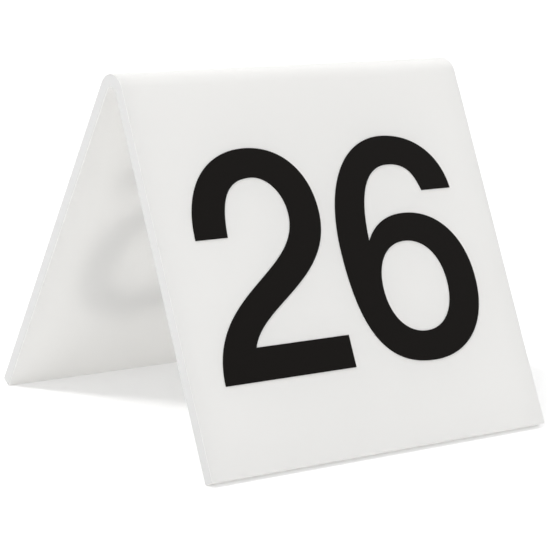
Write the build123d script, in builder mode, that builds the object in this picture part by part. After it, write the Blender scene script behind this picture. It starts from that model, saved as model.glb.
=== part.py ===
from build123d import *
from math import cos, radians, sin, tan
import os

# A free-standing table number. One sheet of white translucent acrylic is warmed along its
# middle and folded over a rod into a tent, and a pair of black film numerals is laid on the
# outer face of each leg, so that the number reads the same from both sides of the table.
#
# Frame: millimetres. X runs along the ridge, the front leg stands towards -Y and Z is up.
# The origin is on the table, in the middle of the footprint, straight under the ridge.

# ---- Sheet ----
WIDTH = 76.0  # along the ridge
HEIGHT = 65.3  # from the table to the top of the fold
THICKNESS = 2.4
LEAN = 27.5  # degrees that each leg leans in from upright
FOLD_RADIUS = 1.55  # inside the bend, as the forming rod leaves it
FOOT_LAND = 0.4  # width of the flat that each leg stands on
EDGE_ROUND = 0.25  # flame-polished rounding of the cut edges

# ---- Numerals, drawn on the slope of the leg ----
FILM = 0.15  # thickness of the adhesive film
BASELINE = 15.85  # up the slope, from the bottom edge of the outer face
TWO_LEFT = -30.9  # left side of each numeral, from the middle of the sheet
SIX_LEFT = 0.3
DIGIT_HEIGHT = 42.0
CROWN = 5.5  # stroke across the tops and bottoms of the curves
STEM = 6.8  # stroke down their sides
FOOT_BAR = 6.0
FULLNESS = 0.6  # how far a curve's handles reach towards its corner

# ---- Worked out from those ----
lean = radians(LEAN)
outer_radius = FOLD_RADIUS + THICKNESS
# The square-cut end stands on its inner corner, and the flat takes the tip off that corner.
foot_trim = FOOT_LAND / (tan(lean) + 1 / tan(lean))
fold_height = HEIGHT - outer_radius
leg_length = (fold_height + foot_trim + FOLD_RADIUS * sin(lean)) / cos(lean)


def leg_point(radius, down):
    """A point of the front leg's section, (y, z): its radius from the fold's centre and its
    distance down the slope from where the bend begins."""
    y = -radius * cos(lean) - down * sin(lean)
    z = fold_height + radius * sin(lean) - down * cos(lean)
    return (y, z)


def face_plane(side, left):
    """The plane of a leg's outer face, with its origin on the numerals' baseline. side is 1
    for the front leg and -1 for the rear one, and left is read as one faces that leg."""
    y, z = leg_point(outer_radius, leg_length - BASELINE)
    outward = (0, -side * cos(lean), sin(lean))
    return Plane(origin=(side * left, side * y, z), x_dir=(side, 0, 0), z_dir=outward)


def turn(start, corner, end, fullness=FULLNESS):
    """A smooth quarter turn from start to end that heads for corner at both of its ends."""
    first, aim, last = Vector(*start), Vector(*corner), Vector(*end)
    Bezier(first, first + (aim - first) * fullness, last + (aim - last) * fullness, last)


def sketch_two(plane):
    """The numeral 2, drawn from its own left side and baseline, which are plane's origin."""
    width = 28.4
    shoulder = 29.3  # height where the bowl is widest
    crown_at = 15.3  # where the bowl is highest
    tip_left, tip_height = 0.7, 26.0
    neck = 8.1  # inner corner, where the diagonal leaves the foot bar
    inside = width - STEM
    under_crown = DIGIT_HEIGHT - CROWN
    tip_right = tip_left + STEM
    with BuildSketch(plane) as two:
        with BuildLine():
            turn((tip_left, tip_height), (tip_left - 0.2, DIGIT_HEIGHT), (crown_at, DIGIT_HEIGHT))
            turn((crown_at, DIGIT_HEIGHT), (width, DIGIT_HEIGHT), (width, shoulder))
            Bezier((width, shoulder), (width, 16.5), (11.3, 13.6), (neck, FOOT_BAR))
            Polyline((neck, FOOT_BAR), (width, FOOT_BAR), (width, 0), (0, 0))
            Bezier((0, 0), (0, 16.7), (inside, 18.2), (inside, shoulder))
            turn((inside, shoulder), (inside, under_crown), (crown_at, under_crown), 0.55)
            turn((crown_at, under_crown), (tip_right + 0.5, under_crown), (tip_right, tip_height), 0.7)
            Line((tip_right, tip_height), (tip_left, tip_height))
        make_face()
    return two.sketch


def sketch_six(plane):
    """The numeral 6, drawn like the 2, with its counter cut out."""
    width = 29.6
    top, bottom = 42.4, -0.8  # round numerals overshoot the cap height and the baseline
    middle = 15.4
    waist = 21.2  # height where the back is furthest left
    bowl_side = 13.4  # height where the bowl is furthest right
    bowl_top = 27.3
    crotch = (6.9, 22.6)
    tip_height = 31.3
    tip_right, tip_left = 28.9, 22.0
    under_crown = 36.8
    left, right = 7.5, 22.7
    low, high = 4.8, 22.0
    centre = (left + right) / 2
    with BuildSketch(plane) as six:
        with BuildLine():
            turn((tip_right, tip_height), (28.1, top), (middle, top))
            turn((middle, top), (0, top), (0, waist))
            turn((0, waist), (0, bottom), (middle, bottom), 0.7)
            turn((middle, bottom), (width, bottom), (width, bowl_side))
            turn((width, bowl_side), (width, bowl_top), (16.3, bowl_top))
            Bezier((16.3, bowl_top), (12.7, bowl_top), (9.2, 26.1), crotch)
            turn(crotch, (7.3, under_crown), (middle, under_crown), 0.65)
            Bezier((middle, under_crown), (19.9, under_crown), (21.1, 34.5), (tip_left, tip_height))
            Line((tip_left, tip_height), (tip_right, tip_height))
        make_face()
        with BuildLine():
            turn((centre, high), (right, high), (right, bowl_side))
            turn((right, bowl_side), (right, low), (centre, low))
            turn((centre, low), (left, low), (left, bowl_side))
            turn((left, bowl_side), (left, high), (centre, high))
        make_face(mode=Mode.SUBTRACT)
    return six.sketch


def film_numeral(label, outline):
    """One numeral cut from film, laid on a leg's outer face and written as its own piece."""
    with BuildPart() as numeral:
        extrude(outline, amount=FILM)
    numeral.part.label = label
    export_step(numeral.part, f"parts/{label}.step")


os.makedirs("parts", exist_ok=True)

# ---- The folded sheet: half of its section, mirrored across the ridge and run along X ----
with BuildPart() as tent_sheet:
    with BuildSketch(Plane.YZ):
        with BuildLine():
            Polyline(
                leg_point(FOLD_RADIUS, 0),
                leg_point(FOLD_RADIUS, leg_length),
                leg_point(outer_radius, leg_length),
                leg_point(outer_radius, 0),
            )
            CenterArc((0, fold_height), outer_radius, 180 - LEAN, LEAN - 90)
            Line((0, HEIGHT), (0, fold_height + FOLD_RADIUS))
            CenterArc((0, fold_height), FOLD_RADIUS, 90, 90 - LEAN)
        make_face()
        mirror(about=Plane.YZ)
    extrude(amount=WIDTH / 2, both=True)
    # Each leg stands on a narrow flat instead of a knife edge.
    split(bisect_by=Plane.XY, keep=Keep.TOP)
    outer_feet = tent_sheet.edges().filter_by(Axis.X).group_by(Axis.Z)[1]
    fillet(outer_feet, EDGE_ROUND)
    fillet(tent_sheet.faces().filter_by(Axis.X).edges(), EDGE_ROUND)
tent_sheet.part.label = "tent_sheet"
export_step(tent_sheet.part, "parts/tent_sheet.step")

# ---- The numerals: the same pair on both legs ----
for name, side in (("front", 1), ("rear", -1)):
    film_numeral(f"{name}_numeral_two", sketch_two(face_plane(side, TWO_LEFT)))
    film_numeral(f"{name}_numeral_six", sketch_six(face_plane(side, SIX_LEFT)))
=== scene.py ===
"""A table number folded from one sheet of white acrylic, standing in a plain white studio.

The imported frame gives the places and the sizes. The folded sheet and its four film numerals
are built and finished here, and then the floor, the lamps and the camera are set around them.
Lengths are in metres, and angles in radians unless a name or a note says degrees.
"""

import logging
from dataclasses import dataclass, field
from enum import Enum
from math import cos, pi, radians, sin, tan

import bmesh
import bpy
from mathutils import Matrix, Vector


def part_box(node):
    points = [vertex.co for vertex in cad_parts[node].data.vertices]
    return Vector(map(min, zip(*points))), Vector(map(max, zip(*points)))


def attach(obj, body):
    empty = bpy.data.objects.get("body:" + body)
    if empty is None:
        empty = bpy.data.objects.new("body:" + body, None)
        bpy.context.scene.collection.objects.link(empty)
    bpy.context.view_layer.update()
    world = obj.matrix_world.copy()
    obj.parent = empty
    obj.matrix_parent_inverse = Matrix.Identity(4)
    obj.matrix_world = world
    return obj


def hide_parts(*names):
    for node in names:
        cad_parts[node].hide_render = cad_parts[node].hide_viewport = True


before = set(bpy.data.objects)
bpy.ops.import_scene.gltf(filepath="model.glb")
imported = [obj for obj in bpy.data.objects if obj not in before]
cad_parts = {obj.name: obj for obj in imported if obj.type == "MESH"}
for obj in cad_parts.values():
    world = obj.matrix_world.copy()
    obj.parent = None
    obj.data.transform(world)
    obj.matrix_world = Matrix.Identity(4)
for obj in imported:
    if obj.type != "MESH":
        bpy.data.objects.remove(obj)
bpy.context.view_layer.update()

LOG = logging.getLogger("table_number")
BODY = "root"
MILLIMETRE = 0.001

# A noise pattern keeps mostly between these two values, which are spread to a finish's own range.
NOISE_LOW, NOISE_HIGH = 0.3, 0.7
# The cosine of the angle within which a face counts as facing a direction.
FACING = 0.9
# Points nearer than this are one point.
WELD = 0.001 * MILLIMETRE
# The sheet's materials, by their number on its faces.
SKIN, CUT_END = 0, 1

Colour = tuple[float, float, float]


class Leg(Enum):
    """The two legs of the tent, by the side of the ridge that each stands on."""

    FRONT = -1.0
    REAR = 1.0


class Digit(Enum):
    """The numerals that make up the table's number, in reading order."""

    TWO = "two"
    SIX = "six"


class Slot(Enum):
    """The record's material slots."""

    ACRYLIC = "white_acrylic"
    FILM = "black_film"


class NodeGraph:
    """A new material with an empty node tree, and short ways to fill it."""

    def __init__(self, name: str) -> None:
        """Make the material.

        Args:
            name: The material's name.
        """
        self.material = bpy.data.materials.new(name)
        self.material.use_nodes = True
        self.tree = self.material.node_tree
        self.tree.nodes.clear()
        self.output = self.tree.nodes.new("ShaderNodeOutputMaterial")

    def add(self, kind: str, settings: dict[str, object] | None = None,
            **sockets: object) -> bpy.types.Node:
        """Add one node.

        Args:
            kind: The node's type, without its ShaderNode prefix.
            settings: Properties of the node itself, such as an operation.
            **sockets: Input values, or output sockets to join, with _ for a space.

        Returns:
            The new node.
        """
        node = self.tree.nodes.new("ShaderNode" + kind)
        for key, value in (settings or {}).items():
            setattr(node, key, value)
        for key, value in sockets.items():
            socket = node.inputs[key.replace("_", " ")]
            if isinstance(value, bpy.types.NodeSocket):
                self.tree.links.new(value, socket)
            else:
                socket.default_value = value
        return node

    def place(self) -> bpy.types.NodeSocket:
        """Return the piece's own Object coordinates, in metres."""
        return self.add("TexCoord").outputs["Object"]

    def noise(self, where: bpy.types.NodeSocket, grain: float,
              detail: float = 3.0) -> bpy.types.NodeSocket:
        """Add a noise pattern.

        Args:
            where: The coordinates that it reads.
            grain: The size of one patch of it, in metres.
            detail: How many finer layers it holds.

        Returns:
            Its grey value, from 0 to 1.
        """
        return self.add("TexNoise", Vector=where, Scale=1.0 / grain, Detail=detail).outputs["Fac"]

    def scaled(self, value: bpy.types.NodeSocket, factor: float) -> bpy.types.NodeSocket:
        """Multiply a value by a number.

        Args:
            value: The value.
            factor: The number.

        Returns:
            Their product.
        """
        node = self.add("Math", {"operation": "MULTIPLY"})
        self.tree.links.new(value, node.inputs[0])
        node.inputs[1].default_value = factor
        return node.outputs["Value"]

    def sum(self, first: bpy.types.NodeSocket, second: bpy.types.NodeSocket) -> bpy.types.NodeSocket:
        """Add two values.

        Args:
            first: One value.
            second: The other.

        Returns:
            Their sum.
        """
        node = self.add("Math", {"operation": "ADD"})
        self.tree.links.new(first, node.inputs[0])
        self.tree.links.new(second, node.inputs[1])
        return node.outputs["Value"]

    def spread(self, value: bpy.types.NodeSocket, low: float, high: float) -> bpy.types.NodeSocket:
        """Turn a noise's middle range into a range of values.

        Args:
            value: The pattern.
            low: The value at the pattern's dark end.
            high: The value at its light end.

        Returns:
            The value spread over the new range.
        """
        node = self.add("MapRange", Value=value, From_Min=NOISE_LOW, From_Max=NOISE_HIGH,
                        To_Min=low, To_Max=high)
        return node.outputs["Result"]

    def tinted(self, value: bpy.types.NodeSocket, dark: Colour, light: Colour) -> bpy.types.NodeSocket:
        """Turn a noise's middle range into a range of colours.

        Args:
            value: The pattern.
            dark: The colour at the pattern's dark end.
            light: The colour at its light end.

        Returns:
            The colour.
        """
        grey = self.add("CombineXYZ", X=value, Y=value, Z=value)
        node = self.add("MapRange", {"data_type": "FLOAT_VECTOR"}, Vector=grey.outputs["Vector"])
        sockets = {socket.identifier: socket for socket in node.inputs}
        sockets["From_Min_FLOAT3"].default_value = (NOISE_LOW,) * 3
        sockets["From_Max_FLOAT3"].default_value = (NOISE_HIGH,) * 3
        sockets["To_Min_FLOAT3"].default_value = dark
        sockets["To_Max_FLOAT3"].default_value = light
        return node.outputs["Vector"]

    def blended(self, first: bpy.types.Node, second: bpy.types.Node, share: float) -> bpy.types.Node:
        """Mix two shaders.

        Args:
            first: The main shader.
            second: The shader that takes a share of the light from it.
            share: The second shader's share, from 0 to 1.

        Returns:
            The mixed shader.
        """
        node = self.add("MixShader", Fac=share)
        for socket, shader in zip(node.inputs[1:], (first, second)):
            self.tree.links.new(shader.outputs["BSDF"], socket)
        return node

    def surface(self, shader: bpy.types.Node) -> bpy.types.Material:
        """Finish the material with its shader, and return it."""
        self.tree.links.new(shader.outputs[0], self.output.inputs["Surface"])
        return self.material


@dataclass(frozen=True)
class CastAcrylic:
    """White cast acrylic: it scatters light, lets a share of it through and has a soft gloss.

    The sheet's tone drifts a very little, its skin has the faint ripple of casting, and the heat
    of the forming rod leaves it a touch duller over the bend.
    """

    name: str = "cast_acrylic"
    body: Colour = (0.977, 0.977, 0.972)
    mottle: float = 0.0015
    mottle_grain: float = 14 * MILLIMETRE
    through: Colour = (0.987, 0.975, 0.950)
    share_through: float = 0.33
    gloss_low: float = 0.30
    gloss_high: float = 0.34
    skin_grain: float = 1.1 * MILLIMETRE
    bend_haze: float = 0.05
    bend_from: float = 54 * MILLIMETRE
    bend_to: float = 63 * MILLIMETRE
    ripple_grain: float = 7 * MILLIMETRE
    ripple_depth: float = 0.01 * MILLIMETRE
    ior: float = 1.49

    def material(self) -> bpy.types.Material:
        """Build the finish.

        Returns:
            The material.
        """
        graph = NodeGraph(self.name)
        where = graph.place()
        cloud = graph.noise(where, self.mottle_grain, 1.0)
        dark = tuple(c * (1 - self.mottle) for c in self.body)
        light = tuple(min(c * (1 + self.mottle), 1.0) for c in self.body)
        gloss = graph.spread(graph.noise(where, self.skin_grain), self.gloss_low, self.gloss_high)
        height = graph.add("SeparateXYZ", Vector=where).outputs["Z"]
        haze = graph.add("MapRange", Value=height, From_Min=self.bend_from, From_Max=self.bend_to,
                         To_Min=0.0, To_Max=self.bend_haze).outputs["Result"]
        ripple = graph.add("Bump", Height=graph.noise(where, self.ripple_grain, 1.0),
                           Distance=self.ripple_depth, Strength=1.0)
        skin = graph.add("BsdfPrincipled", Base_Color=graph.tinted(cloud, dark, light),
                         Roughness=graph.sum(gloss, haze), IOR=self.ior, Normal=ripple.outputs["Normal"])
        glow = graph.add("BsdfTranslucent", Color=(*self.through, 1.0))
        return graph.surface(graph.blended(skin, glow, self.share_through))


@dataclass(frozen=True)
class PolishedEdge:
    """The sheet's cut edges: the same acrylic seen end on, with the saw's marks polished over, and a
    darker grey painted on as shade.
    """

    lean: float
    name: str = "polished_edge_painted_shade"
    # Painted shade: darker than the acrylic's own tone, standing in for the shade on the cut ends and
    # the light they lose into the sheet.
    body: Colour = (0.752, 0.752, 0.746)
    gloss_low: float = 0.30
    gloss_high: float = 0.44
    mark_pitch: float = 0.45 * MILLIMETRE
    mark_depth: float = 0.006 * MILLIMETRE
    ior: float = 1.49

    def material(self) -> bpy.types.Material:
        """Build the finish.

        Returns:
            The material.
        """
        graph = NodeGraph(self.name)
        along = self.along(graph)
        marks = graph.noise(graph.add("CombineXYZ", X=along).outputs["Vector"], self.mark_pitch, 1.0)
        gloss = graph.spread(marks, self.gloss_low, self.gloss_high)
        bump = graph.add("Bump", Height=marks, Distance=self.mark_depth, Strength=1.0)
        # The base colour is the painted-shade grey of the cut ends.
        edge = graph.add("BsdfPrincipled", Base_Color=(*self.body, 1.0), Roughness=gloss,
                         IOR=self.ior, Normal=bump.outputs["Normal"])
        return graph.surface(edge)

    def along(self, graph: NodeGraph) -> bpy.types.NodeSocket:
        """Measure how far along its cut a point lies: down the slope of either leg, and along X.

        Args:
            graph: The finish that is being built.

        Returns:
            The distance, in metres.
        """
        parts = graph.add("SeparateXYZ", Vector=graph.place())
        across = graph.add("Math", {"operation": "ABSOLUTE"}, Value=parts.outputs["Y"]).outputs["Value"]
        run = graph.scaled(across, sin(self.lean))
        drop = graph.scaled(parts.outputs["Z"], -cos(self.lean))
        return graph.sum(graph.sum(run, drop), parts.outputs["X"])


@dataclass(frozen=True)
class NumeralFilm:
    """Black adhesive film with a satin face."""

    name: str = "satin_film"
    ink: Colour = (0.0050, 0.0038, 0.0030)
    gloss_low: float = 0.42
    gloss_high: float = 0.54
    grain: float = 0.5 * MILLIMETRE
    grain_depth: float = 0.004 * MILLIMETRE
    specular: float = 0.11

    def material(self) -> bpy.types.Material:
        """Build the finish.

        Returns:
            The material.
        """
        graph = NodeGraph(self.name)
        where = graph.place()
        pattern = graph.noise(where, self.grain)
        gloss = graph.spread(pattern, self.gloss_low, self.gloss_high)
        bump = graph.add("Bump", Height=pattern, Distance=self.grain_depth, Strength=1.0)
        film = graph.add("BsdfPrincipled", Base_Color=(*self.ink, 1.0), Roughness=gloss,
                         Specular_IOR_Level=self.specular, Normal=bump.outputs["Normal"])
        return graph.surface(film)


@dataclass(frozen=True)
class PaleFloor:
    """The studio's matt white table top, lit a little from below as a light table is."""

    name: str = "studio_floor"
    tone: Colour = (0.90, 0.90, 0.90)
    roughness: float = 0.9
    glow: float = 0.19

    def material(self) -> bpy.types.Material:
        """Build the finish.

        Returns:
            The material.
        """
        graph = NodeGraph(self.name)
        top = graph.add("BsdfPrincipled", Base_Color=(*self.tone, 1.0), Roughness=self.roughness,
                        Specular_IOR_Level=0.0, Emission_Color=(1.0, 1.0, 1.0, 1.0),
                        Emission_Strength=self.glow)
        return graph.surface(top)


def finished(mesh: bmesh.types.BMesh, name: str,
             materials: list[bpy.types.Material]) -> bpy.types.Object:
    """Turn a bmesh into a piece that rides on the frame.

    Args:
        mesh: The finished shape, in metres in the frame's place. It is freed.
        name: The piece's name.
        materials: Its materials, in the order of the faces' material numbers.

    Returns:
        The piece.
    """
    data = bpy.data.meshes.new(name)
    mesh.to_mesh(data)
    mesh.free()
    for material in materials:
        data.materials.append(material)
    piece = bpy.data.objects.new(name, data)
    bpy.context.scene.collection.objects.link(piece)
    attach(piece, BODY)
    return piece


@dataclass
class TentSheet:
    """The acrylic sheet: one strip folded over a rod, with flame-polished cut edges."""

    node: str = "tent_sheet"
    thickness: float = 2.4 * MILLIMETRE
    fold_radius: float = 1.55 * MILLIMETRE
    lean: float = radians(27.5)
    foot_land: float = 0.4 * MILLIMETRE
    edge_round: float = 0.25 * MILLIMETRE
    sharp_angle: float = radians(20)
    fold_steps: int = 36
    edge_steps: int = 3
    width: float = field(init=False)
    height: float = field(init=False)

    def __post_init__(self) -> None:
        """Take the sheet's width and height from the frame."""
        low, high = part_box(self.node)
        self.width = high.x - low.x
        self.height = high.z - low.z

    @property
    def outer_radius(self) -> float:
        """Return the radius of the fold's outside."""
        return self.fold_radius + self.thickness

    @property
    def fold_height(self) -> float:
        """Return the height of the fold's centre line."""
        return self.height - self.outer_radius

    @property
    def leg_length(self) -> float:
        """Return the straight length of a leg, down to the untrimmed tip of its cut end."""
        trim = self.foot_land / (tan(self.lean) + 1 / tan(self.lean))
        return (self.fold_height + trim + self.fold_radius * sin(self.lean)) / cos(self.lean)

    def down_slope(self, leg: Leg) -> Vector:
        """Return the direction down a leg."""
        return Vector((0.0, leg.value * sin(self.lean), -cos(self.lean)))

    def section(self) -> bmesh.types.BMesh:
        """Make the folded strip's section, at the sheet's left end.

        The sheet's thickness is one edge where the bend begins. It runs down the front leg, turns
        through the fold and runs down the rear leg, and the table trims the tips of both feet.

        Returns:
            The section as a band of flat faces.
        """
        mesh = bmesh.new()
        fold = Vector((-self.width / 2, 0.0, self.fold_height))
        outward = Vector((0.0, -cos(self.lean), sin(self.lean)))
        inner = mesh.verts.new(fold + outward * self.fold_radius)
        outer = mesh.verts.new(fold + outward * self.outer_radius)
        start = mesh.edges.new((inner, outer))
        self.run_down(mesh, start, Leg.FRONT)
        turned = bmesh.ops.spin(mesh, geom=[inner, outer, start], cent=fold, axis=(-1.0, 0.0, 0.0),
                                angle=pi - 2 * self.lean, steps=self.fold_steps)
        last = next(item for item in turned["geom_last"] if isinstance(item, bmesh.types.BMEdge))
        self.run_down(mesh, last, Leg.REAR)
        bmesh.ops.remove_doubles(mesh, verts=mesh.verts, dist=WELD)
        bmesh.ops.bisect_plane(mesh, geom=[*mesh.verts, *mesh.edges, *mesh.faces], plane_co=(0, 0, 0),
                               plane_no=(0, 0, -1), clear_outer=True, dist=WELD / 10)
        return mesh

    def run_down(self, mesh: bmesh.types.BMesh, edge: bmesh.types.BMEdge, leg: Leg) -> None:
        """Run the section on from an edge, down one leg.

        Args:
            mesh: The section.
            edge: The edge across the sheet's thickness, at the fold.
            leg: The leg to run down.
        """
        grown = bmesh.ops.extrude_edge_only(mesh, edges=[edge])["geom"]
        tips = [item for item in grown if isinstance(item, bmesh.types.BMVert)]
        bmesh.ops.translate(mesh, verts=tips, vec=self.down_slope(leg) * self.leg_length)

    def fold_faces(self, mesh: bmesh.types.BMesh) -> list[bmesh.types.BMFace]:
        """Pick out the faces that run round the fold, inside and outside.

        Args:
            mesh: The sheet, before its edges are rounded.

        Returns:
            The faces that are turned further up than a leg's are.
        """
        leg_tilt = sin(self.lean) + 1e-4
        return [f for f in mesh.faces if abs(f.normal.x) < FACING and abs(f.normal.z) > leg_tilt
                and f.calc_center_median().z > self.fold_height]

    def is_land(self, edge: bmesh.types.BMEdge) -> bool:
        """Say whether an edge is a long side of a foot's flat, which stays crisp on the table."""
        ends = [vert.co for vert in edge.verts]
        return max(end.z for end in ends) < self.edge_round / 4 and ends[0].y == ends[1].y

    def build(self, faces: bpy.types.Material, edges: bpy.types.Material) -> bpy.types.Object:
        """Build the sheet. Its flat faces stay flat, and its fold and rounded edges are smooth.

        Args:
            faces: The finish of the sheet's own skin.
            edges: The finish of its cut edges, a darker grey painted on as shade.

        Returns:
            The piece.
        """
        mesh = self.section()
        run = bmesh.ops.extrude_face_region(mesh, geom=mesh.faces[:])["geom"]
        moved = [item for item in run if isinstance(item, bmesh.types.BMVert)]
        bmesh.ops.translate(mesh, verts=moved, vec=(self.width, 0.0, 0.0))
        bmesh.ops.recalc_face_normals(mesh, faces=mesh.faces)
        # The cut ends take the edge finish, whose darker grey is painted shade.
        for face in mesh.faces:
            face.material_index = CUT_END if abs(face.normal.x) > FACING else SKIN
            face.smooth = False
        for face in self.fold_faces(mesh):
            face.smooth = True
        cut = [e for e in mesh.edges if e.calc_face_angle() > self.sharp_angle and not self.is_land(e)]
        rounded = bmesh.ops.bevel(mesh, geom=cut, offset=self.edge_round, offset_type="OFFSET",
                                  segments=self.edge_steps, profile=0.5, affect="EDGES",
                                  material=-1, clamp_overlap=True)
        for face in rounded["faces"]:
            face.smooth = True
        piece = finished(mesh, "folded_sheet", [faces, edges])
        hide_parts(self.node)
        return piece


@dataclass
class FilmNumeral:
    """One numeral of black film on a leg's outer face."""

    leg: Leg
    digit: Digit
    lean: float
    edge_round: float = 0.04 * MILLIMETRE
    edge_steps: int = 2
    rim_angle: float = radians(60)
    flat_angle: float = radians(0.05)
    flat_facing: float = 0.999

    @property
    def node(self) -> str:
        """Return the name of the frame's node for this numeral."""
        return f"{self.leg.name.lower()}_numeral_{self.digit.value}"

    def build(self, finish: bpy.types.Material) -> bpy.types.Object:
        """Build the numeral on the outline that the frame holds, with its cut edge eased.

        Args:
            finish: The film's finish.

        Returns:
            The piece.
        """
        mesh = bmesh.new()
        mesh.from_mesh(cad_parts[self.node].data)
        bmesh.ops.remove_doubles(mesh, verts=mesh.verts, dist=self.edge_round / 2)
        bmesh.ops.dissolve_limit(mesh, angle_limit=self.flat_angle, verts=mesh.verts, edges=mesh.edges)
        outward = Vector((0.0, self.leg.value * cos(self.lean), sin(self.lean)))
        rim = [e for e in mesh.edges if e.calc_face_angle() > self.rim_angle
               and any(f.normal.dot(outward) > FACING for f in e.link_faces)]
        bmesh.ops.bevel(mesh, geom=rim, offset=self.edge_round, offset_type="OFFSET",
                        segments=self.edge_steps, profile=0.5, affect="EDGES", material=-1,
                        clamp_overlap=True)
        bmesh.ops.remove_doubles(mesh, verts=mesh.verts, dist=self.edge_round / 8)
        bmesh.ops.recalc_face_normals(mesh, faces=mesh.faces)
        for face in mesh.faces:
            face.smooth = abs(face.normal.dot(outward)) < self.flat_facing
        piece = finished(mesh, f"{self.leg.name.lower()}_film_{self.digit.value}", [finish])
        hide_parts(self.node)
        return piece


@dataclass
class Studio:
    """The floor, the lamps and the camera around the table number."""

    floor_size: float = 12.0
    target: Vector = field(default_factory=lambda: Vector((-0.01137, -0.01482, 0.02984)))
    azimuth: float = radians(-36.6)
    elevation: float = radians(13.03)
    roll: float = radians(2.81)
    distance: float = 0.3953
    lens: float = 143.9
    sensor: float = 36.0
    ambient: float = 0.37

    def floor(self, finish: bpy.types.Material) -> None:
        """Lay the floor under the feet.

        Args:
            finish: The floor's finish.
        """
        mesh = bmesh.new()
        bmesh.ops.create_grid(mesh, x_segments=1, y_segments=1, size=self.floor_size / 2)
        data = bpy.data.meshes.new("floor")
        mesh.to_mesh(data)
        mesh.free()
        data.materials.append(finish)
        floor = bpy.data.objects.new("floor", data)
        bpy.context.scene.collection.objects.link(floor)

    def sun(self, name: str, azimuth: float, elevation: float, width: float, strength: float) -> None:
        """Hang one far soft lamp.

        Args:
            name: The lamp's name.
            azimuth: Degrees from straight in front of the tent, positive to its right.
            elevation: Degrees above the floor.
            width: The angle that the lamp fills, in degrees.
            strength: Its light on a surface that faces it, in watts per square metre.
        """
        lamp = bpy.data.lights.new(name, "SUN")
        lamp.energy = strength
        lamp.angle = radians(width)
        hung = bpy.data.objects.new(name, lamp)
        az, el = radians(azimuth), radians(elevation)
        towards = Vector((sin(az) * cos(el), -cos(az) * cos(el), sin(el)))
        hung.rotation_euler = towards.to_track_quat("Z", "Y").to_euler()
        bpy.context.scene.collection.objects.link(hung)

    def light(self) -> None:
        """Hang the lamps and set the room's own light."""
        self.sun("key_softbox", azimuth=-97.0, elevation=63.0, width=9.0, strength=1.08)
        self.sun("ceiling", azimuth=0.0, elevation=90.0, width=120.0, strength=0.88)
        self.sun("right_softbox", azimuth=90.0, elevation=30.0, width=60.0, strength=0.35)
        self.sun("back_softbox", azimuth=140.0, elevation=35.0, width=60.0, strength=0.64)
        self.sun("front_softbox", azimuth=0.0, elevation=45.0, width=60.0, strength=0.16)
        world = bpy.data.worlds.new("white_room")
        world.use_nodes = True
        background = world.node_tree.nodes["Background"]
        background.inputs["Color"].default_value = (1.0, 1.0, 1.0, 1.0)
        background.inputs["Strength"].default_value = self.ambient
        bpy.context.scene.world = world

    def shoot(self) -> None:
        """Stand the camera, and keep the picture's tones as the lamps give them."""
        data = bpy.data.cameras.new("camera")
        data.lens = self.lens
        data.sensor_width = self.sensor
        camera = bpy.data.objects.new("camera", data)
        back = Vector((sin(self.azimuth) * cos(self.elevation), -cos(self.azimuth) * cos(self.elevation),
                       sin(self.elevation)))
        aim = back.to_track_quat("Z", "Y").to_matrix()
        turned = aim @ Matrix.Rotation(self.roll, 3, "Z")
        camera.matrix_world = Matrix.Translation(self.target + back * self.distance) @ turned.to_4x4()
        bpy.context.scene.collection.objects.link(camera)
        bpy.context.scene.camera = camera
        bpy.context.scene.view_settings.view_transform = "Standard"


def main() -> None:
    """Build the table number and its studio, and report each piece."""
    logging.basicConfig(level=logging.INFO, format="%(name)s: %(message)s")
    acrylic = CastAcrylic().material()
    film = NumeralFilm().material()
    sheet = TentSheet()
    polished = PolishedEdge(sheet.lean).material()
    pieces = [sheet.build(acrylic, polished)]
    for leg in Leg:
        for digit in Digit:
            pieces.append(FilmNumeral(leg, digit, sheet.lean).build(film))
    for piece in pieces:
        LOG.info("%s: %d faces", piece.name, len(piece.data.polygons))
    studio = Studio()
    studio.floor(PaleFloor().material())
    studio.light()
    studio.shoot()


if __name__ == "__main__":
    main()
